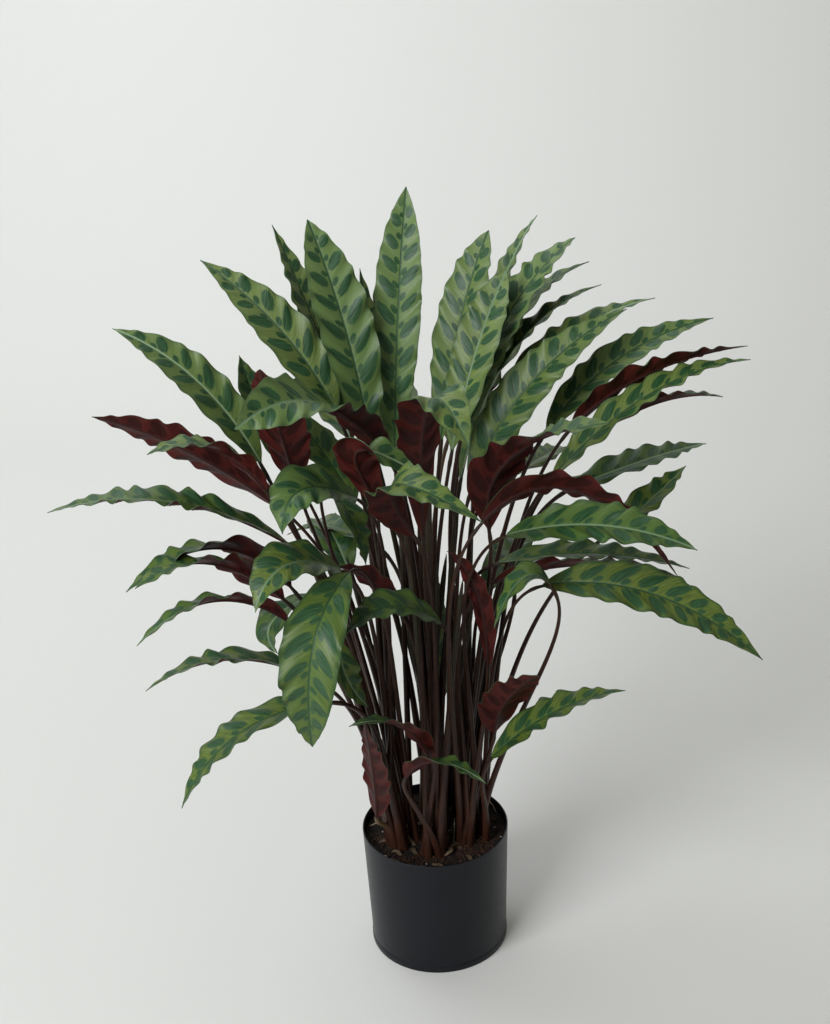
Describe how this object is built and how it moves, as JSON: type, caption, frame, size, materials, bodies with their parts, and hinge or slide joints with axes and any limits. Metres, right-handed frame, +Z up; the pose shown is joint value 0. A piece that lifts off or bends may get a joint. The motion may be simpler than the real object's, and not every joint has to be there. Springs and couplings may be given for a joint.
{
  "type": "potted rattlesnake calathea",
  "caption": "Rattlesnake calathea with long waved blades on thin stalks that rise from crowns in the soil of a plain round nursery pot.",
  "frame": {"origin": "centre of the pot's flat base, on the surface that it stands on", "axes": "+Z up, along the stalks; +X to the viewer's right and +Y away from the viewer when the plant's fuller side faces the viewer"},
  "size_m": [0.7206, 0.471, 0.8701],
  "materials": {
    "pot": "satin moulded black plastic",
    "soil": "loose dark peat, dry and dull",
    "stalk": "smooth brown skin with a low sheen",
    "leaf": "satin light green with dark oval blotches above, maroon below"
  },
  "bodies": {
    "root": {"pot": "pot", "soil": "soil", "stalks": "stalk", "leaf_top_1": "leaf", "leaf_top_2": "leaf", "leaf_top_3": "leaf", "leaf_top_4": "leaf", "leaf_top_5": "leaf", "leaf_top_6": "leaf", "leaf_top_7": "leaf", "leaf_top_8": "leaf", "leaf_top_9": "leaf", "leaf_left_1": "leaf", "leaf_left_2": "leaf", "leaf_left_3": "leaf", "leaf_left_4": "leaf", "leaf_left_5": "leaf", "leaf_left_6": "leaf", "leaf_left_7": "leaf", "leaf_left_8": "leaf", "leaf_left_9": "leaf", "leaf_left_10": "leaf", "leaf_left_11": "leaf", "leaf_left_12": "leaf", "leaf_front_1": "leaf", "leaf_front_2": "leaf", "leaf_front_3": "leaf", "leaf_front_4": "leaf", "leaf_front_5": "leaf", "leaf_front_6": "leaf", "leaf_front_7": "leaf", "leaf_front_8": "leaf", "leaf_front_9": "leaf", "leaf_front_10": "leaf", "leaf_front_11": "leaf", "leaf_front_12": "leaf", "leaf_front_13": "leaf", "leaf_right_1": "leaf", "leaf_right_2": "leaf", "leaf_right_3": "leaf", "leaf_right_4": "leaf", "leaf_right_5": "leaf", "leaf_right_6": "leaf", "leaf_right_7": "leaf", "leaf_right_8": "leaf", "leaf_right_9": "leaf", "leaf_right_10": "leaf", "leaf_right_11": "leaf", "leaf_low_1": "leaf", "leaf_low_2": "leaf", "leaf_low_3": "leaf", "leaf_low_4": "leaf", "leaf_low_5": "leaf", "leaf_low_6": "leaf", "leaf_back_1": "leaf", "leaf_back_2": "leaf", "leaf_back_3": "leaf", "leaf_back_4": "leaf", "leaf_back_5": "leaf", "leaf_back_6": "leaf"}
  },
  "joints": []
}
